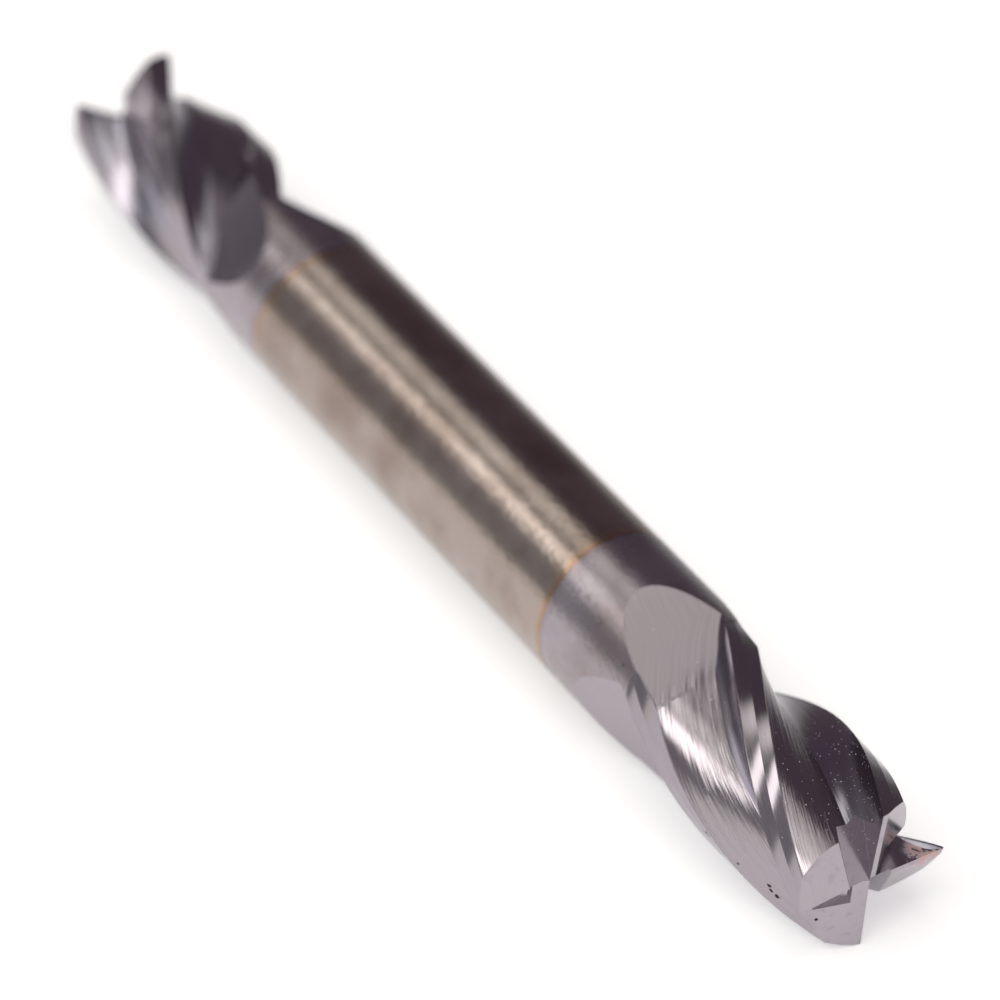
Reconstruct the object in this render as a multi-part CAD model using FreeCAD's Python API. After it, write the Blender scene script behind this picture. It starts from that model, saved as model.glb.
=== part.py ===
import FreeCAD, Part
import math
import os

# Double-ended four-flute end mill, ground from one carbide rod.
# The tool axis is +X (towards the front cutting end), +Z is up, and the origin is the
# middle of the tool on its axis.  Both ends carry right-hand 30 degree flutes that cut
# right-handed.  Lengths are in millimetres, angles in degrees.

DIAMETER = 6.35                 # shank and cutting diameter, 1/4 inch
RADIUS = DIAMETER / 2
OVERALL_LENGTH = 50.8           # 2 inches
COATED_LENGTH = 15.7            # tip to the edge of the dark coating
COATING_EDGE_WIDTH = 0.3        # thin gold-tinted band where the coating fades out
TEETH = 4
PITCH_ANGLE = 360.0 / TEETH
HELIX_ANGLE = 30.0
BACK_TAPER = 0.004              # the ground ends lose this much radius from tip to collar
FRONT_PHASE = -4.6              # first front corner, turned about +X from +Z
REAR_PHASE = 54.2               # first rear corner, turned about +X from +Z

# flute cross-section
CORE_RADIUS = 0.60 * RADIUS     # distance of the flute floor from the axis
FLOOR_LAG = 19.0                # the floor comes closest to the axis this far past the edge
LARGEST_LAG = 42.0
RAKE_HOLLOW = 0.578 * RADIUS    # radius of the concave rake face
RAKE_OVERRUN = 0.1              # the hollow starts just outside the rod
RAKE_LIFT_FREE = 0.12 * RADIUS  # the rake face stays put until the wheel has lifted this far
RAKE_LIFT_GAIN = 1.6            # then its top moves out this many times as fast as the floor
BACK_CROWN = 0.16               # height of the convex back wall over its chord
RUNOUT_CROWN = 0.01             # what is left of the crown on the run-out facet
LEAST_HEEL_REACH = 0.5 * RADIUS # the back wall always reaches this far sideways
HEEL_FLARE = 0.4                # the cutter's outer end opens out by this much

# flute run-out, where the grinding wheel lifts out of the rod
RUNOUT_START = 1.9 * RADIUS     # from the tip
RUNOUT_WHEEL_RADIUS = 7.1 * RADIUS
CROWN_FADE = 1.2 * RADIUS       # the crown of the back wall fades over this length
RUNOUT_FLOOR_TURN = -78.5       # the run-out facet faces this way, from the tooth's corner
FLUTE_END = 4.45 * RADIUS       # beyond this the wheel is clear of the rod

# land behind each cutting edge
LAND_CLEANUP = 0.005            # the clearance grinding just cleans up the rod's surface
PRIMARY_WIDTH = 0.55
PRIMARY_CLEARANCE = 8.0
SECONDARY_WIDTH = 0.95
SECONDARY_CLEARANCE = 17.0
LAND_RUNOUT_START = 3.35 * RADIUS
LAND_RUNOUT_RADIUS = 0.5 * RADIUS
LAND_END = 3.9 * RADIUS
LAND_LEAD = 0.15                # the clearance cutter starts this far ahead of the edge
LAND_CUT_HEIGHT = 0.9           # how far it reaches out from the rod

# end teeth
END_DISH = 2.0                  # the end edges fall towards the centre
END_PRIMARY_WIDTH = 0.26
END_PRIMARY_CLEARANCE = 8.0
END_SECONDARY_CLEARANCE = 22.0
GASH_ANGLE = 31.0               # slope of the gash floor
GASH_DEPTH = 0.12               # of the gash floor where it meets the axis
GASH_SETBACK = 0.01             # the gash stands this far ahead of the centre line
GASH_FLOOR_WIDTH = 0.85
GASH_BACK_SLOPE = 58.0
LONG_GASH_START = -0.05         # the long teeth meet at the centre
SHORT_GASH_START = 0.6          # the short teeth stop before it
RELIEF_LEAD = 0.05              # the end relief starts this far ahead of the end edge
END_CUT_REACH = 1.6 * RADIUS    # how far the end cutters reach from the axis
END_CUT_HEIGHT = 1.6 * RADIUS   # and beyond the tip
GASH_SIDE = 1.1 * RADIUS        # width of the gash from the end edge to its open side

SECTION_STEP = 0.2 * RADIUS     # spacing of the sections that a flute is lofted through
TIP_OVERRUN = 0.2 * RADIUS      # how far cutters reach past the tip
CLEAR = 2.6 * RADIUS            # how far cutters reach outside the rod

# Each cutting end is modelled with its tip at the origin and its axis along +Z, so a
# point at distance s from the tip is at z = -s, and is then turned into place.


def polar(radius, angle, z):
    """Point at a polar position round the tool axis."""
    turn = math.radians(angle)
    return FreeCAD.Vector(radius * math.cos(turn), radius * math.sin(turn), z)


def helix_turn(distance):
    """Turn of the cutting edge at a distance from the tip."""
    return -math.degrees(distance * math.tan(math.radians(HELIX_ANGLE)) / RADIUS)


def line(start, end):
    return Part.LineSegment(start, end).toShape()


def arc(start, middle, end):
    return Part.Arc(start, middle, end).toShape()


def stations(first, last):
    """Evenly spaced distances from the tip, both ends included."""
    count = max(2, math.ceil((last - first) / SECTION_STEP))
    return [first + (last - first) * i / count for i in range(count + 1)]


def ground_path(section, steady_end, run_out_end):
    """Space swept by an outline: an exact helix up to one distance, then a lofted run-out."""
    start = -TIP_OVERRUN
    lead = 2 * math.pi * RADIUS / math.tan(math.radians(HELIX_ANGLE))
    helix = Part.makeLongHelix(lead, steady_end - start, RADIUS, 0, False)
    helix.rotate(FreeCAD.Vector(0, 0, 0), FreeCAD.Vector(0, 0, 1), helix_turn(steady_end))
    helix.translate(FreeCAD.Vector(0, 0, -steady_end))
    steady = Part.Wire(helix.Edges).makePipeShell([section(steady_end)], True, True)
    sections = [section(distance) for distance in stations(steady_end, run_out_end)]
    run_out = Part.makeLoft(sections, True, False)
    return [steady, run_out]


def flute_section(distance):
    """Closed outline of the ground-away space in front of one rake face.

    The floor is a line that faces one way, and the hollow rake face is an arc that meets
    it in a corner.  Past the run-out start the wheel lifts and the floor stops turning.
    """
    past = max(0.0, distance - RUNOUT_START)
    lift = past ** 2 / (2 * RUNOUT_WHEEL_RADIUS)
    floor_distance = CORE_RADIUS + lift
    floor_angle = max(helix_turn(distance) + FLOOR_LAG, RUNOUT_FLOOR_TURN)
    lag = min(floor_angle - helix_turn(distance), LARGEST_LAG)
    normal = polar(1.0, floor_angle, 0)
    along_floor = polar(1.0, floor_angle + 90, 0)
    outward = polar(1.0, floor_angle - lag, 0)
    ahead = polar(1.0, floor_angle - lag + 90, 0)
    rake_lift = RAKE_LIFT_GAIN * max(0.0, lift - RAKE_LIFT_FREE)
    rake_top = outward * (RADIUS + RAKE_OVERRUN + rake_lift)
    centre = rake_top + ahead * RAKE_HOLLOW
    height = normal.dot(centre) - floor_distance
    half_chord = math.sqrt(RAKE_HOLLOW ** 2 - height ** 2)
    corner = normal * floor_distance + along_floor * (along_floor.dot(centre) - half_chord)
    rake_middle = centre + ((corner + rake_top) * 0.5 - centre).normalize() * RAKE_HOLLOW
    rod_reach = RADIUS ** 2 - floor_distance ** 2
    heel_reach = math.sqrt(max(rod_reach, LEAST_HEEL_REACH ** 2))
    heel = normal * floor_distance + along_floor * heel_reach
    crown = BACK_CROWN * max(0.0, 1 - past / CROWN_FADE) + RUNOUT_CROWN
    wall_middle = (corner + heel) * 0.5 + normal * crown
    outer_rake = rake_top + outward * CLEAR
    outer_heel = heel + along_floor * CLEAR + normal * HEEL_FLARE
    places = [outer_rake, rake_top, rake_middle, corner, wall_middle, heel, outer_heel]
    down = FreeCAD.Vector(0, 0, -distance)
    outer_rake, rake_top, rake_middle, corner, wall_middle, heel, outer_heel = [
        place + down for place in places]
    return Part.Wire([
        line(outer_rake, rake_top),
        arc(rake_top, rake_middle, corner),
        arc(corner, wall_middle, heel),
        line(heel, outer_heel),
        line(outer_heel, outer_rake),
    ])


def land_section(distance):
    """Outline of what the two clearance facets behind one cutting edge remove."""
    turn = helix_turn(distance)
    lift = max(0.0, distance - LAND_RUNOUT_START) ** 2 / (2 * LAND_RUNOUT_RADIUS)
    edge = polar(RADIUS - LAND_CLEANUP + lift, turn, -distance)
    outward = polar(1.0, turn, 0)
    backward = FreeCAD.Vector(outward.y, -outward.x, 0)
    slope_one = math.tan(math.radians(PRIMARY_CLEARANCE))
    slope_two = math.tan(math.radians(SECONDARY_CLEARANCE))
    ahead = edge - backward * LAND_LEAD + outward * LAND_LEAD * slope_one
    step = edge + backward * PRIMARY_WIDTH - outward * PRIMARY_WIDTH * slope_one
    last = step + backward * SECONDARY_WIDTH - outward * SECONDARY_WIDTH * slope_two
    rise = outward * LAND_CUT_HEIGHT
    return Part.makePolygon([ahead, step, last, last + rise, ahead + rise, ahead])


def placed(shape, turn):
    """Turn a shape about the tool axis."""
    copy = shape.copy()
    copy.rotate(FreeCAD.Vector(0, 0, 0), FreeCAD.Vector(0, 0, 1), turn)
    return copy


def prism(points, direction):
    face = Part.Face(Part.makePolygon(points + [points[0]]))
    return face.extrude(direction)


def end_relief_cutter():
    """Clears the end face behind an end edge that lies along +X, down towards -Y."""
    reach = END_CUT_REACH
    dish = math.tan(math.radians(END_DISH))
    slope_one = math.tan(math.radians(END_PRIMARY_CLEARANCE))
    slope_two = math.tan(math.radians(END_SECONDARY_CLEARANCE))
    fall_one = slope_one * END_PRIMARY_WIDTH
    fall_two = fall_one + slope_two * (reach - END_PRIMARY_WIDTH)
    centre_drop = -RADIUS * dish
    outline = [
        FreeCAD.Vector(0, RELIEF_LEAD, centre_drop + RELIEF_LEAD * slope_one),
        FreeCAD.Vector(0, -END_PRIMARY_WIDTH, centre_drop - fall_one),
        FreeCAD.Vector(0, -reach, centre_drop - fall_two),
        FreeCAD.Vector(0, -reach, END_CUT_HEIGHT),
        FreeCAD.Vector(0, RELIEF_LEAD, END_CUT_HEIGHT),
    ]
    return prism(outline, FreeCAD.Vector(reach, 0, reach * dish))


def gash_cutter(start):
    """Notch in front of an end edge that lies along +X, deepening outwards."""
    slope = math.tan(math.radians(GASH_ANGLE))
    rise = math.tan(math.radians(GASH_BACK_SLOPE))
    floor = -GASH_DEPTH - max(0.0, start) * slope
    side_height = floor + (GASH_SIDE - GASH_FLOOR_WIDTH) * rise
    outline = [
        FreeCAD.Vector(start, GASH_SETBACK, END_CUT_HEIGHT),
        FreeCAD.Vector(start, GASH_SETBACK, floor),
        FreeCAD.Vector(start, GASH_FLOOR_WIDTH, floor),
        FreeCAD.Vector(start, GASH_SIDE, side_height),
        FreeCAD.Vector(start, GASH_SIDE, END_CUT_HEIGHT),
    ]
    return prism(outline, FreeCAD.Vector(END_CUT_REACH, 0, -END_CUT_REACH * slope))


def cutting_end():
    """Coated end of the tool: four fluted teeth running out into a plain collar."""
    length = COATED_LENGTH
    base = FreeCAD.Vector(0, 0, -length)
    body = Part.makeCone(RADIUS - BACK_TAPER, RADIUS, length, base)
    flute = ground_path(flute_section, RUNOUT_START, FLUTE_END)
    land = ground_path(land_section, LAND_RUNOUT_START, LAND_END)
    relief = end_relief_cutter()
    long_gash = gash_cutter(LONG_GASH_START)
    short_gash = gash_cutter(SHORT_GASH_START)
    turns = [tooth * PITCH_ANGLE for tooth in range(TEETH)]
    for cutter in flute + land + [relief]:
        for turn in turns:
            body = body.cut(placed(cutter, turn))
    for turn in turns[0::2]:
        body = body.cut(placed(long_gash, turn))
    for turn in turns[1::2]:
        body = body.cut(placed(short_gash, turn))
    return body


def turned_to_front(shape):
    """Local +Z becomes +X, with the first tooth at the front phase from +Z."""
    copy = placed(shape, FRONT_PHASE)
    copy.rotate(FreeCAD.Vector(0, 0, 0), FreeCAD.Vector(0, 1, 0), 90)
    copy.rotate(FreeCAD.Vector(0, 0, 0), FreeCAD.Vector(1, 0, 0), 180)
    copy.translate(FreeCAD.Vector(OVERALL_LENGTH / 2, 0, 0))
    return copy


def turned_to_rear(shape):
    """Local +Z becomes -X, with the first tooth at the rear phase from +Z."""
    copy = placed(shape, -REAR_PHASE)
    copy.rotate(FreeCAD.Vector(0, 0, 0), FreeCAD.Vector(0, 1, 0), -90)
    copy.translate(FreeCAD.Vector(-OVERALL_LENGTH / 2, 0, 0))
    return copy


def rod_slice(start, end):
    """Plain length of the rod between two places along X."""
    base = FreeCAD.Vector(start, 0, 0)
    return Part.makeCylinder(RADIUS, end - start, base, FreeCAD.Vector(1, 0, 0))


def bare_shank():
    half = OVERALL_LENGTH / 2 - COATED_LENGTH - COATING_EDGE_WIDTH
    return rod_slice(-half, half)


def coating_edge(side):
    """Gold-tinted band between the bare shank and one coated end."""
    outer = OVERALL_LENGTH / 2 - COATED_LENGTH
    inner = outer - COATING_EDGE_WIDTH
    if side > 0:
        return rod_slice(inner, outer)
    return rod_slice(-outer, -inner)


os.makedirs("parts", exist_ok=True)
end = cutting_end()
pieces = {
    "front_cutting_end": turned_to_front(end),
    "front_coating_edge": coating_edge(1),
    "bare_shank": bare_shank(),
    "rear_coating_edge": coating_edge(-1),
    "rear_cutting_end": turned_to_rear(end),
}
for name, shape in pieces.items():
    shape.exportStep(os.path.join("parts", name + ".step"))
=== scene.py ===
import math
import random

import bmesh
import bpy
import numpy as np
from mathutils import Matrix, Vector


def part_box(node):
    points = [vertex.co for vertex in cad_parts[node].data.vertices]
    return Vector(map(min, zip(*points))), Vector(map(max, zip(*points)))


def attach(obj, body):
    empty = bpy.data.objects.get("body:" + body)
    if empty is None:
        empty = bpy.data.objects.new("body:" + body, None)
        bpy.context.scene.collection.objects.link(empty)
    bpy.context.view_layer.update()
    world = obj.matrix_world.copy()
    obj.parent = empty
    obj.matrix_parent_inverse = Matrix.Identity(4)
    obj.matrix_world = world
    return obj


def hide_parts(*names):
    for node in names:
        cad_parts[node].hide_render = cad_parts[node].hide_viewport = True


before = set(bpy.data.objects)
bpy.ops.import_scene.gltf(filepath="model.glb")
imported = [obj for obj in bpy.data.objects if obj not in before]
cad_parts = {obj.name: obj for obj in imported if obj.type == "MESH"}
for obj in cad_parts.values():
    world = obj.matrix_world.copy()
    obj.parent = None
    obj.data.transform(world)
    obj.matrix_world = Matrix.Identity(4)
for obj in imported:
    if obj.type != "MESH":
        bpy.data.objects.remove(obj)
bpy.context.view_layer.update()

# Double-ended four-flute end mill.  The CAD solids give the sizes and the places; the
# cutting ends are ground again here as fine meshes from the same wheel paths, so that the
# flutes, lands and end teeth catch the light as the real surfaces do.
# Shapes are made in millimetres in a local frame, tip at the origin and axis along +Z,
# then turned into place in metres.

MM = 0.001

# ---------------------------------------------------------------- sizes from the CAD model
shank_low, shank_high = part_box("bare_shank")
end_low, end_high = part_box("front_cutting_end")
R = (shank_high.z - shank_low.z) / 2 / MM          # radius of the shank and of the teeth
TIP = round(end_high.x / MM, 1)                    # half the tool's length
COATED_LENGTH = TIP - end_low.x / MM               # from a tip to the end of its plain collar
SHANK_END = shank_high.x / MM
COATED_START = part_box("front_coating_edge")[1].x / MM
FLOOR_Z = shank_low.z / MM                         # the shank lies on the floor

# ---------------------------------------------------------------- grinding of a cutting end
# lengths in millimetres, angles in degrees
TEETH = 4
PITCH = 360.0 / TEETH
HELIX_ANGLE = 30.0
BACK_TAPER = 0.004              # the end loses this much radius from tip to collar
FRONT_PHASE = -4.6              # angle about the axis of each end's first tooth
REAR_PHASE = 54.2

# flute cross-section
CORE_RADIUS = 0.60 * R          # distance of the flute floor from the axis
FLOOR_LAG = 19.0                # the floor comes closest to the axis this far past the edge
LARGEST_LAG = 42.0              # the top of the rake face stays within this angle of it
RAKE_HOLLOW = 0.578 * R         # radius of the concave rake face
RAKE_OVERRUN = 0.1              # the hollow starts just outside the rod
RAKE_LIFT_FREE = 0.12 * R       # the rake face stays put until the wheel has lifted this far
RAKE_LIFT_GAIN = 1.6            # then its top moves out this many times as fast as the floor
BACK_CROWN = 0.16               # height of the convex back wall over its chord
RUNOUT_CROWN = 0.01             # what is left of the crown on the run-out facet
CROWN_FADE = 1.2 * R            # the crown fades over this length
LEAST_HEEL_REACH = 0.5 * R      # the back wall always reaches this far sideways

# flute run-out, where the grinding wheel lifts out of the rod
RUNOUT_START = 1.9 * R          # from the tip
RUNOUT_WHEEL_RADIUS = 7.1 * R
RUNOUT_FLOOR_TURN = -78.5       # the run-out facet faces this way, from the tooth's corner

# lands behind each cutting edge
LAND_CLEANUP = 0.005            # the clearance grinding just cleans up the rod's surface
PRIMARY_WIDTH = 0.55
PRIMARY_CLEARANCE = 8.0
SECONDARY_CLEARANCE = 17.0
LAND_RUNOUT_START = 3.35 * R
LAND_RUNOUT_RADIUS = 0.5 * R

# end teeth
END_DISH = 2.0                  # the end edges fall towards the centre
END_PRIMARY_WIDTH = 0.26
END_PRIMARY_CLEARANCE = 8.0
END_SECONDARY_CLEARANCE = 22.0
RELIEF_LEAD = 0.05              # the relief cutter starts this far ahead of the edge
END_CUT_REACH = 1.6 * R         # size of the cutters, well past the rod
GASH_ANGLE = 31.0               # slope of the gash floor
GASH_DEPTH = 0.12               # of the gash floor where it meets the axis
GASH_SETBACK = 0.01             # gap between the gash and the end edge's face
GASH_FLOOR_WIDTH = 0.85
GASH_BACK_SLOPE = 58.0
GASH_SIDE = 1.1 * R             # width of the gash from the end edge to its open side
LONG_GASH_START = -0.05         # two end teeth are gashed past the centre
SHORT_GASH_START = 0.6          # and two stop short of it
TIP_OVERRUN = 0.2 * R           # the rod starts this far past the tip, before the end is cut

# making of the meshes
LAND_SEARCH = (-20.0, 110.0)    # a tooth's lands can lie this far behind its edge
WALL_TRIALS = 41                # places tried when looking for the wall's lowest one
HALVINGS = 36                   # steps in looking for a crossing
LAST_STRETCH = 1.2              # the sections close up over this length at the flutes' end
LAST_STATIONS = 26
COLLAR_STATIONS = 6
MERGE_DISTANCE = 2e-4
SMOOTH_EDGE = 6.0               # edges that turn more than this stay sharp
ROD_SHARP_EDGE = 30.0
ROD_FACES_ROUND = 256
ROD_STEP = 0.3                  # length of a rod face

# kinds of surface, which are also the material slots of a cutting end
RAKE, WALL, COLLAR, SECONDARY, PRIMARY, END_LAND, GASH, CHIP = range(8)
# surfaces met on the way round from one cutting edge to the next, with mesh points on each
RAKE_POINTS, WALL_POINTS = 24, 44
ROUND = [(RAKE, RAKE_POINTS), (WALL, WALL_POINTS),
         (COLLAR, 20), (SECONDARY, 8), (PRIMARY, 6), (COLLAR, 20)]


def tangent(degrees):
    return math.tan(math.radians(degrees))


def unit(degrees):
    turn = math.radians(degrees)
    return np.array([math.cos(turn), math.sin(turn)])


def angle_of(point):
    return math.degrees(math.atan2(point[1], point[0]))


def helix_turn(distance):
    """Angle that a tooth has turned through at a distance from the tip."""
    return -math.degrees(distance * tangent(HELIX_ANGLE) / R)


# distances from the tip at which the lands and the flutes have run out
LAND_GONE_LIFT = (R / math.cos(math.radians(SECONDARY_CLEARANCE)) - R + LAND_CLEANUP
                  - PRIMARY_WIDTH * (tangent(SECONDARY_CLEARANCE) - tangent(PRIMARY_CLEARANCE)))
LAND_GONE = LAND_RUNOUT_START + math.sqrt(2 * LAND_RUNOUT_RADIUS * LAND_GONE_LIFT)
FLUTE_GONE = RUNOUT_START + math.sqrt(2 * RUNOUT_WHEEL_RADIUS * (R - CORE_RADIUS))


def land_lines(lift):
    """Height above the axis where the primary and the secondary clearance lines start."""
    first = R - LAND_CLEANUP + lift
    second = first + PRIMARY_WIDTH * (tangent(SECONDARY_CLEARANCE) - tangent(PRIMARY_CLEARANCE))
    return first, second


def land_radius(back, lift, rod):
    """Radius of the tooth's outside at an angle behind its cutting edge."""
    first, second = land_lines(lift)
    turn = math.radians(back)
    primary = first / (math.cos(turn) + math.sin(turn) * tangent(PRIMARY_CLEARANCE))
    secondary = second / (math.cos(turn) + math.sin(turn) * tangent(SECONDARY_CLEARANCE))
    return min(rod, primary, secondary)


def land_breaks(lift):
    """Angles behind the edge where the primary land starts, steps down and runs out."""
    first, second = land_lines(lift)
    nearest = first * math.cos(math.radians(PRIMARY_CLEARANCE))
    start = PRIMARY_CLEARANCE
    if nearest < R:
        start = PRIMARY_CLEARANCE - math.degrees(math.acos(nearest / R))
    drop = PRIMARY_WIDTH * tangent(PRIMARY_CLEARANCE)
    step = math.degrees(math.atan2(PRIMARY_WIDTH, first - drop))
    nearest = second * math.cos(math.radians(SECONDARY_CLEARANCE))
    if nearest >= R:
        return SECONDARY_CLEARANCE, SECONDARY_CLEARANCE, SECONDARY_CLEARANCE
    half = math.degrees(math.acos(nearest / R))
    step = max(step, SECONDARY_CLEARANCE - half)
    return min(start, step), step, SECONDARY_CLEARANCE + half


def crossing(inside, within, beyond):
    """Place between one that is inside and one that is not, where inside changes."""
    for _ in range(HALVINGS):
        middle = 0.5 * (within + beyond)
        if inside(middle):
            within = middle
        else:
            beyond = middle
    return 0.5 * (within + beyond)


class Wheel:
    """Outline that the flute grinding wheel leaves at one distance from the tip."""

    def __init__(self, distance):
        past = max(0.0, distance - RUNOUT_START)
        lift = past ** 2 / (2 * RUNOUT_WHEEL_RADIUS)
        turn = helix_turn(distance)
        floor = CORE_RADIUS + lift
        floor_angle = max(turn + FLOOR_LAG, RUNOUT_FLOOR_TURN)
        lag = min(floor_angle - turn, LARGEST_LAG)
        self.normal = unit(floor_angle)
        along = unit(floor_angle + 90)
        outward = unit(floor_angle - lag)
        ahead = unit(floor_angle - lag + 90)
        rake_lift = RAKE_LIFT_GAIN * max(0.0, lift - RAKE_LIFT_FREE)
        top = outward * (R + RAKE_OVERRUN + rake_lift)
        self.centre = top + ahead * RAKE_HOLLOW
        height = self.normal @ self.centre - floor
        half_chord = math.sqrt(RAKE_HOLLOW ** 2 - height ** 2)
        self.corner = self.normal * floor + along * (along @ self.centre - half_chord)
        reach = math.sqrt(max(R ** 2 - floor ** 2, LEAST_HEEL_REACH ** 2))
        self.heel = self.normal * floor + along * reach
        self.crown = BACK_CROWN * max(0.0, 1 - past / CROWN_FADE) + RUNOUT_CROWN
        self.start = math.atan2(*(self.corner - self.centre)[::-1])
        self.sweep = math.atan2(*(top - self.centre)[::-1]) - self.start
        self.sweep = (self.sweep + math.pi) % (2 * math.pi) - math.pi

    def rake(self, share):
        """Point on the rake face, from its corner with the floor to the top of the wheel."""
        turn = self.start + self.sweep * share
        return self.centre + RAKE_HOLLOW * np.array([math.cos(turn), math.sin(turn)])

    def wall(self, share):
        """Point on the back wall, from the corner to the heel."""
        bulge = self.normal * self.crown * 4 * share * (1 - share)
        return self.corner + (self.heel - self.corner) * share + bulge


def outside_radius(point, turn, land_lift, rod):
    """Radius of the rod or of a land at a point's angle."""
    best = rod
    for tooth in (turn + PITCH, turn):
        back = (tooth - angle_of(point) + 180) % 360 - 180
        if LAND_SEARCH[0] < back < LAND_SEARCH[1]:
            best = min(best, land_radius(back, land_lift, rod))
    return best


def flute_span(wheel, outside):
    """How much of the wheel's outline cuts the rod: the share of the rake face that does,
    and the shares of the back wall where the cut starts and ends."""
    def inside(point):
        return math.hypot(*point) < outside(point)

    def on_wall(share):
        return inside(wheel.wall(share))

    lowest = min(np.linspace(0, 1, WALL_TRIALS),
                 key=lambda share: math.hypot(*wheel.wall(share)))
    if inside(wheel.corner):
        rake_share = crossing(lambda share: inside(wheel.rake(share)), 0.0, 1.0)
        return rake_share, 0.0, 1.0 if on_wall(1.0) else crossing(on_wall, lowest, 1.0)
    if on_wall(lowest):
        return 0.0, crossing(on_wall, lowest, 0.0), crossing(on_wall, lowest, 1.0)
    return 0.0, lowest, lowest


def flute_points(wheel, rake_share, first, last):
    """Points over the rake face and the back wall, and how far across each one lies."""
    wall_length = math.hypot(*(wheel.heel - wheel.corner))
    points, across = [], []
    for i in range(RAKE_POINTS):
        share = rake_share * (1 - i / RAKE_POINTS)
        if rake_share:
            points.append(wheel.rake(share))
            across.append(-abs(wheel.sweep) * RAKE_HOLLOW * share)
        else:
            points.append(wheel.wall(first))
            across.append(wall_length * first)
    for i in range(WALL_POINTS):
        share = first + (last - first) * i / WALL_POINTS
        points.append(wheel.wall(share))
        across.append(wall_length * share)
    return points, across


def outside_marks(heel_angle, edge_angle, reference, land_lift):
    """Angles from the heel to the next cutting edge where collar and lands change."""
    start, step, end = land_breaks(land_lift)
    marks = [heel_angle, reference - end, reference - step, reference - start, edge_angle]
    for i in range(1, len(marks)):
        marks[i] = max(marks[i], marks[i - 1])
    for i in range(len(marks) - 2, -1, -1):
        marks[i] = min(marks[i], marks[i + 1])
    return marks


def quarter_section(distance):
    """Points of the cross-section from one cutting edge to the next, and how far across the
    grinding lines each of them lies."""
    wheel = Wheel(distance)
    rod = R - BACK_TAPER * max(0.0, distance) / COATED_LENGTH
    turn = helix_turn(distance)
    land_lift = max(0.0, distance - LAND_RUNOUT_START) ** 2 / (2 * LAND_RUNOUT_RADIUS)

    def outside(point):
        return outside_radius(point, turn, land_lift, rod)

    rake_share, first, last = flute_span(wheel, outside)
    points, across = flute_points(wheel, rake_share, first, last)
    heel = wheel.wall(last)
    if first == last:
        heel = heel / math.hypot(*heel) * outside(heel)
        points = [heel] * len(points)

    heel_angle = angle_of(heel)
    edge_angle = heel_angle + (angle_of(points[0]) + PITCH - heel_angle) % 360
    reference = helix_turn(min(distance, LAND_GONE)) + PITCH
    reference = edge_angle + (reference - edge_angle + 180) % 360 - 180
    marks = outside_marks(heel_angle, edge_angle, reference, land_lift)
    for (_, count), begin, finish in zip(ROUND[2:], marks, marks[1:]):
        for i in range(count):
            angle = begin + (finish - begin) * i / count
            points.append(unit(angle) * land_radius(reference - angle, land_lift, rod))
            across.append(math.radians(reference - angle) * R)
    return np.array(points), np.array(across)


def station_distances():
    """Distances from the tip of the mesh's cross-sections, closer where shapes end."""
    close_from = FLUTE_GONE - LAST_STRETCH
    places = [-TIP_OVERRUN]
    for start, end, count in [(-TIP_OVERRUN, RUNOUT_START, 70),
                              (RUNOUT_START, LAND_RUNOUT_START, 46),
                              (LAND_RUNOUT_START, close_from, 24)]:
        places += list(np.linspace(start, end, count)[1:])
    places += [FLUTE_GONE - LAST_STRETCH * (1 - i / LAST_STATIONS) ** 2
               for i in range(1, LAST_STATIONS + 1)]
    places += list(np.linspace(FLUTE_GONE, COATED_LENGTH, COLLAR_STATIONS)[1:])
    return places


def section_rings(distances):
    """Corners of every cross-section, and their places on the ground surface: how far
    across the grinding lines, and how far from the tip."""
    corners, ground = [], []
    for distance in distances:
        points, across = quarter_section(distance)
        for tooth in range(TEETH):
            c, s = unit(tooth * PITCH)
            turned = points @ np.array([[c, s], [-s, c]])
            corners += [(x, y, -distance) for x, y in turned]
            ground += [(side, distance) for side in across]
    return corners, ground


def ring_faces(rows, kinds_round):
    """Faces between the cross-sections and over the two ends, with their kinds."""
    ring = len(kinds_round) * TEETH
    faces, kinds = [], []
    for row in range(rows - 1):
        for i in range(ring):
            k = (i + 1) % ring
            near, far = row * ring, (row + 1) * ring
            faces.append((near + i, far + i, far + k, near + k))
            kinds.append(kinds_round[i % len(kinds_round)])
    base = (rows - 1) * ring
    faces.append(tuple(range(ring)))
    faces.append(tuple(range(base + ring - 1, base - 1, -1)))
    return faces, kinds + [END_LAND, COLLAR]


def flute_mesh():
    """Closed mesh of the rod end with its flutes and lands, before the end is ground."""
    distances = station_distances()
    corners, ground = section_rings(distances)
    faces, kinds = ring_faces(len(distances), [kind for kind, count in ROUND for _ in range(count)])
    mesh = bpy.data.meshes.new("ground_end")
    mesh.from_pydata(corners, [], faces)
    mesh.polygons.foreach_set("material_index", kinds)
    layer = mesh.uv_layers.new(name="ground")
    loops = np.empty(len(mesh.loops), np.int32)
    mesh.loops.foreach_get("vertex_index", loops)
    layer.data.foreach_set("uv", np.array(ground, np.float32)[loops].ravel())
    work = bmesh.new()
    work.from_mesh(mesh)
    bmesh.ops.remove_doubles(work, verts=work.verts, dist=MERGE_DISTANCE)
    work.to_mesh(mesh)
    work.free()
    return mesh


# ---------------------------------------------------------------- end teeth and edge chips
def temporary(name, mesh):
    obj = bpy.data.objects.new(name, mesh)
    bpy.context.scene.collection.objects.link(obj)
    return obj


def cut_by(obj, cutters):
    """Mesh of obj with every cutter taken out of it; obj and the cutters are removed."""
    for cutter in cutters:
        cut = obj.modifiers.new("cut", "BOOLEAN")
        cut.operation = "DIFFERENCE"
        cut.solver = "MANIFOLD"
        cut.object = cutter
    graph = bpy.context.evaluated_depsgraph_get()
    mesh = bpy.data.meshes.new_from_object(
        obj.evaluated_get(graph), preserve_all_data_layers=True, depsgraph=graph)
    for spent in cutters + [obj]:
        bpy.data.objects.remove(spent)
    return mesh


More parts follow.
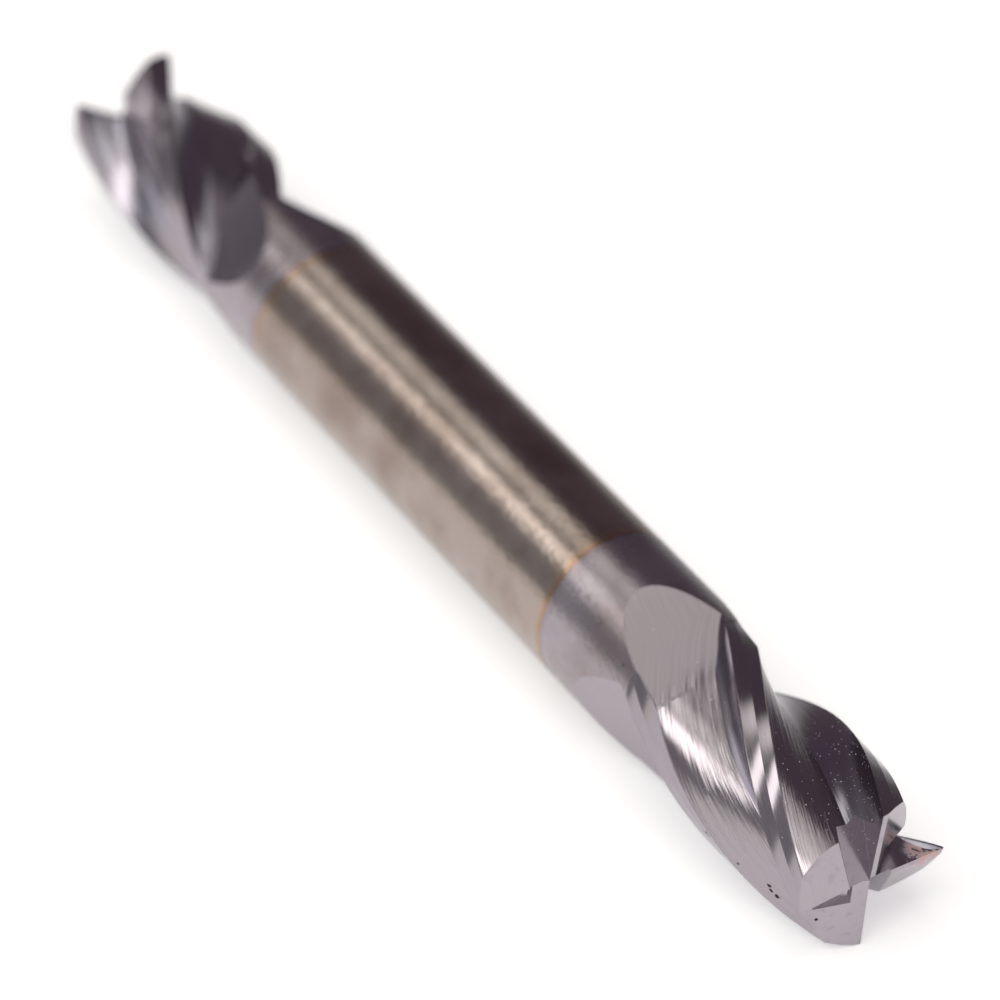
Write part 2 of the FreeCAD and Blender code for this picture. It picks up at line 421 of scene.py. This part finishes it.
def prism(name, outline, direction, kind):
    """Straight cutter with the given outline, swept along a direction."""
    count = len(outline)
    corners = [Vector(p) for p in outline] + [Vector(p) + Vector(direction) for p in outline]
    faces = [tuple(range(count)), tuple(range(2 * count - 1, count - 1, -1))]
    faces += [((i + 1) % count, i, i + count, (i + 1) % count + count) for i in range(count)]
    mesh = bpy.data.meshes.new(name)
    mesh.from_pydata(corners, [], faces)
    work = bmesh.new()
    work.from_mesh(mesh)
    bmesh.ops.recalc_face_normals(work, faces=work.faces)
    work.to_mesh(mesh)
    work.free()
    mesh.polygons.foreach_set("material_index", [kind] * len(mesh.polygons))
    return temporary(name, mesh)


def relief_cutter():
    """Clears the end face behind an end edge that lies along +X, down towards -Y."""
    reach = END_CUT_REACH
    dish = tangent(END_DISH)
    slope = tangent(END_PRIMARY_CLEARANCE)
    fall_one = slope * END_PRIMARY_WIDTH
    fall_two = fall_one + tangent(END_SECONDARY_CLEARANCE) * (reach - END_PRIMARY_WIDTH)
    drop = -R * dish
    outline = [
        (0, RELIEF_LEAD, drop + RELIEF_LEAD * slope),
        (0, -END_PRIMARY_WIDTH, drop - fall_one),
        (0, -reach, drop - fall_two),
        (0, -reach, reach),
        (0, RELIEF_LEAD, reach),
    ]
    return prism("relief", outline, (reach, 0, reach * dish), END_LAND)


def gash_cutter(start):
    """Notch in front of an end edge that lies along +X, deepening outwards."""
    slope = tangent(GASH_ANGLE)
    floor = -GASH_DEPTH - max(0.0, start) * slope
    side_height = floor + (GASH_SIDE - GASH_FLOOR_WIDTH) * tangent(GASH_BACK_SLOPE)
    reach = END_CUT_REACH
    outline = [
        (start, GASH_SETBACK, reach),
        (start, GASH_SETBACK, floor),
        (start, GASH_FLOOR_WIDTH, floor),
        (start, GASH_SIDE, side_height),
        (start, GASH_SIDE, reach),
    ]
    return prism("gash", outline, (reach, 0, -reach * slope), GASH)


def end_cutters():
    """Relief and gash cutters, each turned to its tooth; the long gashes come first."""
    cutters = [relief_cutter() for _ in range(TEETH)]
    cutters += [gash_cutter(LONG_GASH_START), gash_cutter(SHORT_GASH_START),
                gash_cutter(LONG_GASH_START), gash_cutter(SHORT_GASH_START)]
    for i, cutter in enumerate(cutters):
        cutter.rotation_euler.z = math.radians(i % TEETH * PITCH)
    cutters[TEETH:] = cutters[TEETH::2] + cutters[TEETH + 1::2]
    return cutters


def ground_end():
    """One finished cutting end in its local frame, in millimetres."""
    return cut_by(temporary("ground_end", flute_mesh()), end_cutters())


# Chips on one cutting edge of the front end: place in millimetres, and radius.
CHIPS = [
    ((19.89, -3.03, -0.76), 0.06), ((20.05, -3.01, -0.80), 0.04), ((21.46, -2.77, -1.08), 0.05),
    ((22.78, -2.39, -1.22), 0.07), ((22.90, -2.40, -1.38), 0.08), ((23.16, -2.31, -1.49), 0.09),
    ((23.30, -2.22, -1.44), 0.06), ((24.74, -1.80, -1.51), 0.07), ((24.60, -1.86, -1.56), 0.05),
]
CHIP_ROUGHNESS = (0.65, 1.15)
CHIP_STRETCH = 1.5              # chips are longer along the edge


def chipped(mesh):
    """The front end with small pieces broken out of it."""
    breaks = []
    for place, size in CHIPS:
        work = bmesh.new()
        bmesh.ops.create_icosphere(work, subdivisions=2, radius=size)
        for corner in work.verts:
            corner.co *= random.uniform(*CHIP_ROUGHNESS)
            corner.co.x *= CHIP_STRETCH
        pit = bpy.data.meshes.new("chip")
        work.to_mesh(pit)
        work.free()
        pit.polygons.foreach_set("material_index", [CHIP] * len(pit.polygons))
        cutter = temporary("chip", pit)
        cutter.location = place
        breaks.append(cutter)
    return cut_by(temporary("chipped", mesh), breaks)


def turned_to_front():
    """Takes an end to the front, with its first tooth at the front phase."""
    return (Matrix.Translation((TIP, 0, 0)) @ Matrix.Rotation(math.pi, 4, "X")
            @ Matrix.Rotation(math.pi / 2, 4, "Y")
            @ Matrix.Rotation(math.radians(FRONT_PHASE), 4, "Z"))


def turned_to_rear():
    """Takes an end to the rear, with its first tooth at the rear phase."""
    return (Matrix.Translation((-TIP, 0, 0)) @ Matrix.Rotation(-math.pi / 2, 4, "Y")
            @ Matrix.Rotation(math.radians(-REAR_PHASE), 4, "Z"))


# ---------------------------------------------------------------- material building blocks
class Graph:
    """Short way of writing a node tree: each call adds a node and gives its output.

    Places are in metres, so noise scales are in waves per metre unless the vector has
    been turned into millimetres; bump distances are in metres."""

    def __init__(self, tree):
        self.tree = tree
        tree.nodes.clear()

    def add(self, kind, inputs=(), output=0, **settings):
        node = self.tree.nodes.new(kind)
        for key, value in settings.items():
            setattr(node, key, value)
        for key, value in dict(inputs).items():
            if isinstance(value, bpy.types.NodeSocket):
                self.tree.links.new(value, node.inputs[key])
            else:
                node.inputs[key].default_value = value
        return node.outputs[output] if node.outputs else None

    def math(self, operation, a, b=0.0, c=0.0, clamp=False):
        return self.add("ShaderNodeMath", {0: a, 1: b, 2: c}, operation=operation, use_clamp=clamp)

    def fade(self, value, low, high, out_low=0.0, out_high=1.0):
        """Smooth change from out_low to out_high as value goes from low to high."""
        return self.add("ShaderNodeMapRange", {0: value, 1: low, 2: high, 3: out_low, 4: out_high},
                        interpolation_type="SMOOTHSTEP")

    def noise(self, vector, scale, detail=2.0, roughness=0.5):
        return self.add("ShaderNodeTexNoise",
                        {"Vector": vector, "Scale": scale, "Detail": detail, "Roughness": roughness})

    def stretched(self, vector, factors):
        return self.add("ShaderNodeVectorMath", {0: vector, 1: factors}, operation="MULTIPLY")

    def ramp(self, value, stops):
        node = self.tree.nodes.new("ShaderNodeValToRGB")
        elements = node.color_ramp.elements
        while len(elements) < len(stops):
            elements.new(0.5)
        for element, (place, colour) in zip(elements, stops):
            element.position = place
            element.color = (*colour, 1.0)
        self.tree.links.new(value, node.inputs[0])
        return node.outputs[0]

    def mix(self, share, a, b):
        return self.add("ShaderNodeMix", {0: share, 6: a, 7: b}, output=2, data_type="RGBA")

    def multiply(self, share, a, b):
        return self.add("ShaderNodeMix", {0: share, 6: a, 7: b}, output=2,
                        data_type="RGBA", blend_type="MULTIPLY")

    def blend(self, share, a, b):
        return self.add("ShaderNodeMix", {0: share, 2: a, 3: b})

    def shaded(self, colour, share, value, low, high, dark):
        """Colour multiplied by dark where value is under low, and left alone over high."""
        return self.multiply(share, colour, self.ramp(value, [(low, dark), (high, WHITE)]))


# colours of the bare carbide, of the coating across its edge, and of what lies on it
WHITE = (1.0, 1.0, 1.0)
BARE = (0.410, 0.345, 0.318)
BARE_WARM = (0.430, 0.345, 0.290)
GOLD = (0.470, 0.285, 0.165)
BRONZE = (0.380, 0.260, 0.215)
COAT = (0.425, 0.388, 0.425)
COAT_COOL = (0.375, 0.335, 0.375)
DUST = (0.52, 0.53, 0.58, 1.0)
WORN = (0.60, 0.33, 0.30, 1.0)
PIT = (0.03, 0.03, 0.035, 1.0)
BROKEN_DARK = (0.035, 0.032, 0.035)
BROKEN_LIGHT = (0.16, 0.14, 0.14)
# what the colour is multiplied by where it is darkest
CLOUDED = (0.70, 0.64, 0.61)
STREAKED = (0.72, 0.70, 0.72)
LINED = (0.76, 0.74, 0.77)
SMUDGED = (0.55, 0.50, 0.56)

# The dark coating ends on a slightly tilted line at each end: place along X in
# millimetres, tilt, and the angle about X at which the line comes nearest the middle.
FRONT_BORDER = (9.45, 0.35, -25.0)
REAR_BORDER = (10.35, 0.10, -60.0)
BORDER_WOBBLE = 0.16
# Colours across the border, by place in a stretch of 1 mm that starts 0.6 mm before it.
BORDER_STRETCH = (-0.6, 0.4)
BORDER_COLOURS = [(0.0, BARE), (0.40, BARE_WARM), (0.53, GOLD), (0.59, BRONZE),
                  (0.69, COAT_COOL), (1.0, COAT)]

# Dust specks sit one to a cell, in cells per metre; radii are shares of a cell.
DUST_CELLS = 8500.0
SPECK_LEAST, SPECK_SPREAD = 0.06, 0.15
# Places in millimetres round which the dust is thickest, and how far out it thins to a trace.
DUST_ON_FLUTES = ((22.0, 0.6, 1.8), 5.5)
DUST_ON_LANDS = ((23.5, 0.0, 2.5), 3.5)
DUST_ON_END = ((24.6, 0.2, 1.4), 2.2)
DUST_TRACE = 0.02
MATT_ROUGHNESS = 0.8                        # of whatever lies on the metal
# Worn copper-coloured patch on one end tooth, in millimetres.
WORN_PLACE = (25.15, 2.50, -0.2)
WORN_RADIUS, WORN_CORE = 0.95, 0.45
WORN_SHARE = 0.85
# The grinding lines of the flutes get shallower between two distances from the tip, in
# millimetres, down to a share of their depth on the run-out facets.
LINES_FADE = (10.5, 8.0)
FACET_LINES = 0.12


def past_border(g, position, side, border):
    """Distance in millimetres past the coating's border, positive on the coated side."""
    place, tilt, turn = border
    nearest = math.radians(turn)
    slope = tilt / R
    direction = (side / MM, -slope * math.sin(nearest) / MM, slope * math.cos(nearest) / MM)
    along = g.add("ShaderNodeVectorMath", {0: position, 1: direction}, output=1,
                  operation="DOT_PRODUCT")
    return g.math("SUBTRACT", along, place)


def coating(g, position):
    """Colour of the bare rod, the gold edge and the dark coating, and how coated it is."""
    front = past_border(g, position, 1, FRONT_BORDER)
    rear = past_border(g, position, -1, REAR_BORDER)
    past = g.math("MAXIMUM", front, rear)
    wobble = g.math("SUBTRACT", g.noise(position, 900.0, detail=3.0), 0.5)
    past = g.math("MULTIPLY_ADD", wobble, BORDER_WOBBLE, past)
    scale = g.fade(past, *BORDER_STRETCH)
    scale.node.interpolation_type = "LINEAR"
    return g.ramp(scale, BORDER_COLOURS), g.fade(past, -0.05, 0.15)


def distance_from(g, position, place):
    """Distance in metres from a place given in millimetres."""
    return g.add("ShaderNodeVectorMath", {0: position, 1: [c * MM for c in place]}, output=1,
                 operation="DISTANCE")


def dust(g, position, centre, reach, share):
    """Fine pale dust that is thickest round a place."""
    cells = g.add("ShaderNodeTexVoronoi", {"Vector": position, "Scale": DUST_CELLS,
                                           "Randomness": 1.0}).node
    size = g.add("ShaderNodeSeparateColor", {0: cells.outputs["Color"]}, output=0)
    lucky = g.add("ShaderNodeSeparateColor", {0: cells.outputs["Color"]}, output=1)
    speck_radius = g.math("MULTIPLY_ADD", g.math("POWER", size, 2.0), SPECK_SPREAD, SPECK_LEAST)
    speck = g.math("LESS_THAN", cells.outputs["Distance"], speck_radius)
    chance = g.fade(distance_from(g, position, centre), reach * MM, 0.0, DUST_TRACE, share)
    return g.math("MULTIPLY", speck, g.math("LESS_THAN", lucky, chance))


def finish_material(g, colour, roughness, height, bump_distance, extra=None):
    """Metal surface; extra is (share, colour) of matt matter lying on it."""
    metallic = 1.0
    if extra:
        share, over = extra
        colour = g.mix(share, colour, over)
        metallic = g.math("SUBTRACT", 1.0, share)
        roughness = g.math("MAXIMUM", roughness, g.math("MULTIPLY", share, MATT_ROUGHNESS))
    bump = g.add("ShaderNodeBump", {"Height": height, "Distance": bump_distance, "Strength": 1.0})
    shader = g.add("ShaderNodeBsdfPrincipled", {
        "Base Color": colour, "Metallic": metallic, "Roughness": roughness, "Normal": bump})
    g.add("ShaderNodeOutputMaterial", {"Surface": shader})


def new_material(name):
    """A new material, its graph, and the place on the object as a socket."""
    material = bpy.data.materials.new(name)
    material.use_nodes = True
    g = Graph(material.node_tree)
    return material, g, g.add("ShaderNodeTexCoord", output=3)


def round_coordinates(g, position):
    """Place on a turned surface: along the axis, and around it as a length, in millimetres."""
    x, y, z = g.add("ShaderNodeSeparateXYZ", {0: position}).node.outputs
    around = g.math("MULTIPLY", g.math("ARCTAN2", y, z), R)
    return g.add("ShaderNodeCombineXYZ", {0: g.math("MULTIPLY", x, 1 / MM), 1: around})


def ground_lines(g, across, along, detail, roughness):
    """Noise drawn out along the grinding lines; across and along are its waves per millimetre."""
    lines_at = g.add("ShaderNodeUVMap", uv_map="ground")
    stretched = g.stretched(lines_at, (across, along, 1.0))
    return g.noise(stretched, 1.0, detail, roughness)


def rod_material():
    """Centreless-ground round rod, bare in the middle and coated towards both ends."""
    material, g, position = new_material("ground_rod")
    colour, coated = coating(g, position)
    cloud = g.noise(position, 300.0, detail=4.0, roughness=0.6)
    colour = g.shaded(colour, 0.9, cloud, 0.36, 0.60, CLOUDED)
    pitted = g.fade(g.noise(position, 2600.0, detail=1.0), 0.78, 0.82, 0.0, 0.7)
    colour = g.mix(pitted, colour, PIT)
    lines = g.noise(g.stretched(round_coordinates(g, position), (26.0, 0.9, 1.0)), 1.0, detail=3.0)
    grain = g.noise(position, 4200.0, detail=4.0, roughness=0.6)
    waves = g.noise(position, 3600.0, detail=3.0, roughness=0.6)
    height = g.math("MULTIPLY_ADD", lines, 0.8, g.math("MULTIPLY_ADD", waves, 3.0, grain))
    roughness = g.math("MULTIPLY_ADD", g.noise(position, 800.0, detail=4.0), 0.08,
                       g.blend(coated, 0.15, 0.24))
    finish_material(g, colour, roughness, height, bump_distance=4.5e-6)
    return material


def flute_material(name, bump, roughness_base, tint, dust_share):
    """Flute surface with grinding lines that run along the helix and fade at the run-out."""
    material, g, position = new_material(name)
    # lines that show one by one, broad waviness, and lines too fine to see apart
    coarse = ground_lines(g, 9.0, 0.12, detail=3.0, roughness=0.6)
    broad = ground_lines(g, 2.4, 0.16, detail=1.0, roughness=0.5)
    shade = ground_lines(g, 16.0, 0.25, detail=5.0, roughness=0.65)
    colour, _ = coating(g, position)
    patches = g.ramp(g.noise(position, 420.0), [(0.35, (1.0, 0.98, 0.98)), (0.65, tint)])
    colour = g.multiply(1.0, colour, patches)
    colour = g.shaded(colour, 0.55, shade, 0.3, 0.7, STREAKED)
    from_tip = g.add("ShaderNodeSeparateXYZ", {0: g.add("ShaderNodeUVMap", uv_map="ground")},
                     output=1)
    depth = g.fade(from_tip, *LINES_FADE, FACET_LINES, 1.0)
    height = g.math("MULTIPLY", depth, g.math("MULTIPLY_ADD", broad, 1.5, coarse))
    roughness = g.math("MULTIPLY_ADD", shade, 0.08, roughness_base)
    specks = dust(g, position, *DUST_ON_FLUTES, dust_share)
    finish_material(g, colour, roughness, height, bump, (specks, DUST))
    return material


def land_material(name, roughness_base):
    """Clearance facet with fine grinding lines."""
    material, g, position = new_material(name)
    fine = ground_lines(g, 40.0, 0.7, detail=4.0, roughness=0.6)
    broad = ground_lines(g, 3.0, 0.8, detail=3.0, roughness=0.5)
    colour, _ = coating(g, position)
    colour = g.shaded(colour, 0.9, fine, 0.3, 0.7, LINED)
    height = g.math("MULTIPLY_ADD", broad, 1.5, g.math("MULTIPLY", fine, 0.5))
    roughness = g.math("MULTIPLY_ADD", fine, 0.10, roughness_base)
    specks = dust(g, position, *DUST_ON_LANDS, 0.25)
    finish_material(g, colour, roughness, height, bump_distance=5e-7,
                    extra=(specks, DUST))
    return material


def end_face_material(name, roughness_base):
    """Flat end relief or gash: fine lines, smudges and a worn copper-coloured patch."""
    material, g, position = new_material(name)
    fine = g.noise(g.stretched(position, (9000.0, 52000.0, 5200.0)), 1.0, detail=3.0, roughness=0.6)
    smudge = g.noise(position, 2100.0, detail=5.0, roughness=0.65)
    colour, _ = coating(g, position)
    colour = g.shaded(colour, 0.35, smudge, 0.30, 0.46, SMUDGED)
    near = g.fade(distance_from(g, position, WORN_PLACE), WORN_RADIUS * MM, WORN_CORE * MM)
    worn = g.math("MULTIPLY", g.math("MULTIPLY", near, g.fade(smudge, 0.40, 0.52)), WORN_SHARE)
    height = g.math("MULTIPLY_ADD", smudge, 1.2, g.math("MULTIPLY", fine, 0.5))
    roughness = g.math("MULTIPLY_ADD", smudge, 0.12, roughness_base)
    specks = dust(g, position, *DUST_ON_END, 0.3)
    extra = (g.math("MAXIMUM", worn, specks), g.mix(worn, DUST, WORN))
    finish_material(g, colour, roughness, height, bump_distance=7e-7, extra=extra)
    return material


def chip_material():
    """Broken carbide inside a chip: dark and rough."""
    material, g, position = new_material("chipped_carbide")
    grain = g.noise(position, 26000.0, detail=4.0, roughness=0.7)
    colour = g.ramp(grain, [(0.3, BROKEN_DARK), (0.7, BROKEN_LIGHT)])
    finish_material(g, colour, 0.55, grain, bump_distance=4e-6)
    return material


# ---------------------------------------------------------------- pieces
def shown(name, mesh, node, materials):
    """A piece of the tool in place of its CAD node."""
    for material in materials:
        mesh.materials.append(material)
    obj = bpy.data.objects.new(name, mesh)
    bpy.context.scene.collection.objects.link(obj)
    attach(obj, "root")
    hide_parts(node)
    return obj


def cutting_end_piece(name, mesh, node, materials):
    """A ground end made into a piece, with one material for each kind of surface."""
    mesh.name = name
    mesh.transform(Matrix.Scale(MM, 4))
    mesh.polygons.foreach_set("use_smooth", [True] * len(mesh.polygons))
    mesh.set_sharp_from_angle(angle=math.radians(SMOOTH_EDGE))
    kinds = np.empty(len(mesh.polygons), np.int32)
    mesh.polygons.foreach_get("material_index", kinds)
    mesh.materials.clear()
    obj = shown(name, mesh, node, materials)
    mesh.polygons.foreach_set("material_index", kinds)
    return obj


def rod_piece(name, start, end, node, material):
    """A length of the ground rod, closely divided, between two places along X."""
    around, along = ROD_FACES_ROUND, max(2, int((end - start) / ROD_STEP))
    corners, faces = [], []
    for i in range(along + 1):
        x = start + (end - start) * i / along
        for k in range(around):
            turn = 2 * math.pi * k / around
            corners.append((x * MM, -R * math.sin(turn) * MM, R * math.cos(turn) * MM))
    for i in range(along):
        for k in range(around):
            n = (k + 1) % around
            faces.append((i * around + k, (i + 1) * around + k,
                          (i + 1) * around + n, i * around + n))
    faces.append(tuple(range(around)))
    base = along * around
    faces.append(tuple(range(base + around - 1, base - 1, -1)))
    mesh = bpy.data.meshes.new(name)
    mesh.from_pydata(corners, [], faces)
    mesh.polygons.foreach_set("use_smooth", [True] * len(mesh.polygons))
    mesh.set_sharp_from_angle(angle=math.radians(ROD_SHARP_EDGE))
    return shown(name, mesh, node, [material])


def build_tool():
    rod = rod_material()
    materials = {
        RAKE: flute_material("flute_rake", bump=1e-5, roughness_base=0.13,
                             tint=(0.92, 0.96, 1.05), dust_share=0.95),
        WALL: flute_material("flute_wall", bump=3e-5, roughness_base=0.07,
                             tint=(0.99, 0.985, 0.985), dust_share=0.6),
        COLLAR: rod,
        SECONDARY: land_material("secondary_land", 0.10),
        PRIMARY: land_material("primary_land", 0.11),
        END_LAND: end_face_material("end_relief", 0.12),
        GASH: end_face_material("end_gash", 0.14),
        CHIP: chip_material(),
    }
    slots = [materials[kind] for kind in sorted(materials)]
    rear = ground_end()
    front = rear.copy()
    front.transform(turned_to_front())
    rear.transform(turned_to_rear())
    cutting_end_piece("front_cutting_end_ground", chipped(front), "front_cutting_end", slots)
    cutting_end_piece("rear_cutting_end_ground", rear, "rear_cutting_end", slots)
    rod_piece("bare_shank_ground", -SHANK_END, SHANK_END, "bare_shank", rod)
    rod_piece("front_coating_edge_ground", SHANK_END, COATED_START,
              "front_coating_edge", rod)
    rod_piece("rear_coating_edge_ground", -COATED_START, -SHANK_END,
              "rear_coating_edge", rod)


# ---------------------------------------------------------------- studio
# The room is mirrored in the metal: soft light strips overhead, a white card low on the
# near left side, and a dim room elsewhere.  A strip is a soft-edged band between two
# places in a level plane one unit above the tool: (start, end, half width, softness of the
# edge, brightness).
STRIPS = [
    ((-0.10, -0.05), (-0.46, 0.00), 0.28, 0.08, 0.46),
    ((-0.62, 0.08), (-0.82, 0.13), 0.22, 0.17, 1.30),
    ((0.02, 0.20), (-0.38, 0.22), 0.13, 0.05, 0.86),
    ((0.06, -0.04), (-0.16, -0.42), 0.20, 0.07, 1.00),
    ((0.18, 0.02), (0.02, 0.04), 0.12, 0.05, 1.70),
    ((0.24, 0.04), (0.15, -0.20), 0.095, 0.04, 3.50),
    ((0.15, -0.20), (-0.02, -0.50), 0.11, 0.04, 3.40),
    ((-0.02, -0.50), (-0.42, -1.00), 0.12, 0.05, 3.00),
    ((-0.50, -0.85), (-0.81, -0.40), 0.17, 0.04, 2.90),
    ((0.10, 0.12), (0.08, 0.32), 0.06, 0.04, 1.60),
    ((0.05, 0.38), (0.00, 0.76), 0.10, 0.05, 1.20),
]
LIGHT_TINT = (1.0, 0.99, 0.925, 1.0)        # colour of the strips and the card
DIM_TINT = (0.112, 0.086, 0.106, 1.0)       # colour of the room overhead and on the far side
NEAR_TINT = (0.31, 0.302, 0.312, 1.0)       # on the near side
END_TINT = (0.62, 0.58, 0.60, 1.0)          # beyond the front end
LOWEST_LEVEL = 0.05                         # keeps the level plane's places finite
CARD_TOP = (0.14, 0.55)                     # height of the card's top edge, far and near part
CARD_TOP_STEP = (-106, -94)                 # bearings, in degrees, between which it steps up
CARD_TOP_BLUR = 0.06
CARD_RIGHT_END = (-40, -60)                 # bearings where the card fades in from its right end
CARD_LEFT_END = (-168, -126)                # and from its left end
NEAR_FADE = (-0.75, 0.10)                   # level part of the direction, from near to dim
END_FADE = (0.2, 0.8)                       # and from dim to the light beyond the front end

# The paper is evenly lit whatever the metal mirrors, white where it is looked at directly,
# and darker where the metal mirrors the far side of the tool: painted shade, seen only in the metal.
PAPER_REACH = 3.0                           # metres from the tool to each edge
PAPER_LIGHT = 1.6
PAPER_SEEN = 1.10
PAPER_GLOW = 0.35
PAPER_DIFFUSE = (0.80, 0.80, 0.805)
# Painted shade: the mirrored paper gets darker between two distances in metres to the far
# side of the axis, down to a share of its light; past the first x the distances grow with x.
FAR_DARKENING = [(0.0045, 0.0115, 0.42), (0.010, 0.034, 0.30)]
FRONT_WIDENING = (0.014, 0.8)


def light_strip(g, place, strip):
    """Brightness of one soft-edged band of light."""
    (ax, ay), (bx, by), half_width, edge, brightness = strip
    length_squared = (bx - ax) ** 2 + (by - ay) ** 2
    offset = g.add("ShaderNodeVectorMath", {0: place, 1: (ax, ay, 0)}, operation="SUBTRACT")
    share = g.add("ShaderNodeVectorMath", {0: offset, 1: ((bx - ax) / length_squared,
                  (by - ay) / length_squared, 0)}, output=1, operation="DOT_PRODUCT")
    share = g.math("ADD", share, 0.0, clamp=True)
    along = g.add("ShaderNodeVectorMath", {0: (bx - ax, by - ay, 0), "Scale": share},
                  operation="SCALE")
    away = g.add("ShaderNodeVectorMath", {0: offset, 1: along}, output=1, operation="DISTANCE")
    return g.fade(away, half_width + edge, half_width - edge, 0.0, brightness)


def low_card(g, x, y, z):
    """Brightness of the card that stands low beside the tool, by bearing and height."""
    bearing = g.math("ARCTAN2", y, x)
    right, left, step = [[math.radians(end) for end in ends]
                         for ends in (CARD_RIGHT_END, CARD_LEFT_END, CARD_TOP_STEP)]
    over_top = g.math("SUBTRACT", z, g.fade(bearing, *step, *CARD_TOP))
    wide = g.math("MULTIPLY", g.fade(bearing, *right), g.fade(bearing, *left))
    return g.math("MULTIPLY", g.fade(over_top, CARD_TOP_BLUR, -CARD_TOP_BLUR), wide)


def build_world():
    world = bpy.data.worlds.new("room")
    bpy.context.scene.world = world
    world.use_nodes = True
    g = Graph(world.node_tree)
    direction = g.add("ShaderNodeTexCoord", output=0)
    parts = g.add("ShaderNodeSeparateXYZ", {0: direction}).node
    x, y, z = parts.outputs
    level = g.math("MAXIMUM", z, LOWEST_LEVEL)
    place = g.add("ShaderNodeCombineXYZ",
                  {0: g.math("DIVIDE", x, level), 1: g.math("DIVIDE", y, level)})
    brightness = 0.0
    for strip in STRIPS:
        brightness = g.math("MAXIMUM", brightness, light_strip(g, place, strip))
    brightness = g.math("MAXIMUM", brightness, low_card(g, x, y, z))
    dim = g.mix(g.fade(y, *NEAR_FADE), NEAR_TINT, DIM_TINT)
    dim = g.mix(g.fade(x, *END_FADE), dim, END_TINT)
    grey = g.add("ShaderNodeCombineColor", {i: brightness for i in range(3)})
    lit = g.multiply(1.0, LIGHT_TINT, grey)
    colour = g.add("ShaderNodeMix", {0: 1.0, 6: dim, 7: lit}, output=2,
                   data_type="RGBA", blend_type="LIGHTEN")
    rays = g.add("ShaderNodeLightPath").node
    strength = g.blend(rays.outputs["Is Diffuse Ray"], 1.0, PAPER_LIGHT)
    background = g.add("ShaderNodeBackground", {"Color": colour, "Strength": strength})
    g.add("ShaderNodeOutputWorld", {"Surface": background})


def floor_material():
    """White paper; the metal mirrors it darker on the far side of the tool, a painted shade."""
    material, g, position = new_material("white_floor")
    x, y, _ = g.add("ShaderNodeSeparateXYZ", {0: position}).node.outputs
    widening_from, slope = FRONT_WIDENING
    beyond = g.math("MAXIMUM", g.math("SUBTRACT", x, widening_from), 0.0)
    y = g.math("SUBTRACT", y, g.math("MULTIPLY", beyond, slope))
    # painted shade on the paper beside the far side of the tool, given to glossy rays only
    close, wide = [g.fade(y, start, end, 1.0, left) for start, end, left in FAR_DARKENING]
    far_painted_shade = g.math("MULTIPLY", close, wide)
    rays = g.add("ShaderNodeLightPath").node
    seen = g.blend(rays.outputs["Is Glossy Ray"], 1.0, far_painted_shade)
    seen = g.math("MULTIPLY", seen, g.blend(rays.outputs["Is Camera Ray"], 1.0, PAPER_SEEN))
    shade = g.add("ShaderNodeCombineColor",
                  {i: g.math("MULTIPLY", seen, part) for i, part in enumerate(PAPER_DIFFUSE)})
    diffuse = g.add("ShaderNodeBsdfDiffuse", {"Color": shade})
    glow = g.add("ShaderNodeEmission", {"Strength": g.math("MULTIPLY", seen, PAPER_GLOW)})
    both = g.add("ShaderNodeAddShader", {0: diffuse, 1: glow})
    g.add("ShaderNodeOutputMaterial", {"Surface": both})
    return material


def build_studio():
    floor = bpy.data.meshes.new("floor")
    corners = [(x * PAPER_REACH, y * PAPER_REACH, FLOOR_Z * MM)
               for x, y in [(-1, -1), (1, -1), (1, 1), (-1, 1)]]
    floor.from_pydata(corners, [], [(0, 1, 2, 3)])
    floor.materials.append(floor_material())
    obj = bpy.data.objects.new("floor", floor)
    bpy.context.scene.collection.objects.link(obj)


# The camera looks down at the front end from its near side; places in millimetres.
CAMERA_AZIMUTH = 56.33
CAMERA_ELEVATION = 43.608
CAMERA_DISTANCE = 155.75
CAMERA_TARGET = (1.541, 0.502, -1.054)
CAMERA_LENS = 146.8
FOCUS_PLACE = (25.31, 0.0, 0.0)             # on the front tip
F_STOP = 44.5


def build_camera():
    azimuth, elevation = math.radians(CAMERA_AZIMUTH), math.radians(CAMERA_ELEVATION)
    back = Vector((math.sin(azimuth) * math.cos(elevation),
                   -math.cos(azimuth) * math.cos(elevation), math.sin(elevation)))
    data = bpy.data.cameras.new("camera")
    data.lens = CAMERA_LENS
    data.sensor_width = 36.0
    data.clip_start = 0.01
    data.clip_end = 20.0
    data.dof.use_dof = True
    focus = bpy.data.objects.new("focus", None)
    focus.location = Vector(FOCUS_PLACE) * MM
    bpy.context.scene.collection.objects.link(focus)
    data.dof.focus_object = focus
    data.dof.aperture_fstop = F_STOP
    camera = bpy.data.objects.new("camera", data)
    camera.location = (Vector(CAMERA_TARGET) + back * CAMERA_DISTANCE) * MM
    camera.rotation_euler = back.to_track_quat("Z", "Y").to_euler()
    bpy.context.scene.collection.objects.link(camera)
    bpy.context.scene.camera = camera


random.seed(4)
build_tool()
build_studio()
build_world()
build_camera()
bpy.context.scene.view_settings.view_transform = "Standard"
